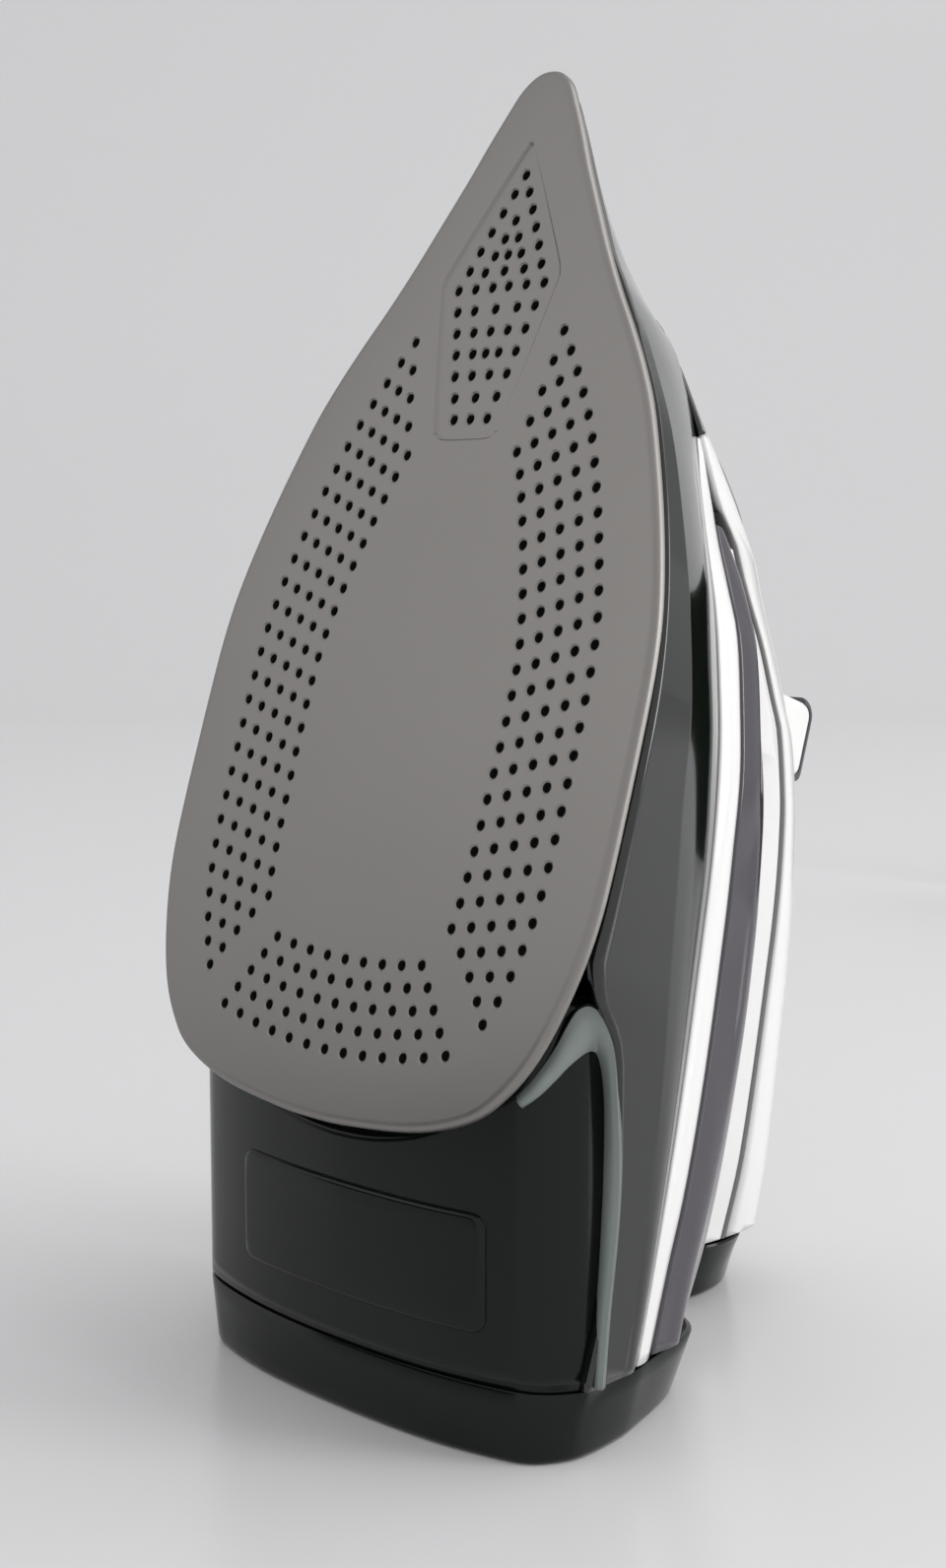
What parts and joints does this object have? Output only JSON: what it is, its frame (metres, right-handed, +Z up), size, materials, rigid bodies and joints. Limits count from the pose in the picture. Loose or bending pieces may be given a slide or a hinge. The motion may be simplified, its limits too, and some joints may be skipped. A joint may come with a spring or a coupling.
{
  "type": "steam iron",
  "caption": "Steam iron standing on its heel: lancet steel sole, dark housing, smoke water tank, open-ended white handle, dial, fill lid, steam and spray buttons.",
  "frame": {"origin": "middle of the outline's base, on the surface the iron stands on", "axes": "+Z up from the heel, +Y from the sole face towards the handle, +X across the iron"},
  "size_m": [0.131, 0.1554, 0.2864],
  "materials": {
    "sole_steel": "satin brushed steel with a fine even grain",
    "cast_aluminium": "die-cast, matt",
    "steel": "plain zinc-plated steel",
    "brass": "turned brass",
    "dark_gloss": "polished dark grey-green moulding",
    "white_gloss": "polished white moulding",
    "smoke": "smoke-tinted translucent moulding",
    "grey_matte": "fine-textured grey moulding",
    "rubber": "soft cord guard",
    "amber": "clear amber lens",
    "heatproof": "ceramic-filled phenolic"
  },
  "bodies": {
    "iron_body": {"accent_strip_left": "white_gloss", "accent_strip_right": "white_gloss", "drip_valve_seat": "brass", "element_terminal_left": "brass", "element_terminal_right": "brass", "fill_lid_pin": "steel", "fill_neck": "grey_matte", "handle_foot": "dark_gloss", "handle_grip_shell": "white_gloss", "handle_inlay_left": "grey_matte", "handle_inlay_right": "grey_matte", "handle_screw_front": "steel", "handle_screw_rear": "steel", "handle_top_shell": "white_gloss", "heating_element": "steel", "heel_cap": "dark_gloss", "heel_cover": "dark_gloss", "indicator_lens": "amber", "lower_housing": "dark_gloss", "rating_plate": "dark_gloss", "sole_casting": "cast_aluminium", "sole_screw_front": "steel", "sole_screw_left": "steel", "sole_screw_right": "steel", "soleplate": "sole_steel", "spray_nozzle": "grey_matte", "spray_pump_barrel": "grey_matte", "spray_pump_spring": "steel", "steam_chamber_cover": "steel", "steam_pump_barrel": "grey_matte", "steam_pump_spring": "steel", "terminal_block": "heatproof", "thermal_fuse": "heatproof", "thermostat_body": "heatproof", "water_tank": "smoke"},
    "temperature_control": {"temperature_dial": "grey_matte", "thermostat_shaft": "brass"},
    "selector": {"steam_selector": "grey_matte"},
    "drip_valve": {"drip_valve_rod": "steel"},
    "lid": {"fill_lid": "smoke"},
    "steam_key": {"steam_button": "white_gloss", "steam_button_pad": "grey_matte", "steam_pump_piston": "steel"},
    "spray_key": {"spray_button": "white_gloss", "spray_button_pad": "grey_matte", "spray_pump_piston": "steel"},
    "cord_guard": {"cord_swivel": "rubber"}
  },
  "joints": [
    {"name": "temperature_turn", "type": "hinge", "parent": "iron_body", "child": "temperature_control", "pos_m": [0, 0.01005, 0.10299], "axis": [0, 0.9504, -0.3109], "range_deg": [0, 270]},
    {"name": "selector_slide", "type": "slide", "parent": "iron_body", "child": "selector", "axis": [0, 0.3109, 0.9504], "range_m": [0, 0.0055]},
    {"name": "drip_valve_lift", "type": "slide", "parent": "iron_body", "child": "drip_valve", "axis": [0, 0.9504, -0.3109], "range_m": [0, 0.0018]},
    {"name": "lid_hinge", "type": "hinge", "parent": "iron_body", "child": "lid", "pos_m": [0, 0.05882, 0.17373], "axis": [-1, 0, 0], "range_deg": [0, 70]},
    {"name": "steam_press", "type": "slide", "parent": "iron_body", "child": "steam_key", "axis": [0, -0.9504, 0.3109], "range_m": [0, 0.004], "stiffness_N_per_m": 400, "springref_m": -0.001, "deforming": ["steam_pump_spring"]},
    {"name": "spray_press", "type": "slide", "parent": "iron_body", "child": "spray_key", "axis": [0, -0.9504, 0.3109], "range_m": [0, 0.004], "stiffness_N_per_m": 400, "springref_m": -0.001, "deforming": ["spray_pump_spring"]},
    {"name": "cord_guard_turn", "type": "hinge", "parent": "iron_body", "child": "cord_guard", "pos_m": [0, 0.06407, 0.03271], "axis": [0, 0.9504, -0.3109], "range_deg": [-45, 45]}
  ],
  "couplings": [
    {"joint": "drip_valve_lift", "follows": "selector_slide", "ratio": 0.327}
  ]
}
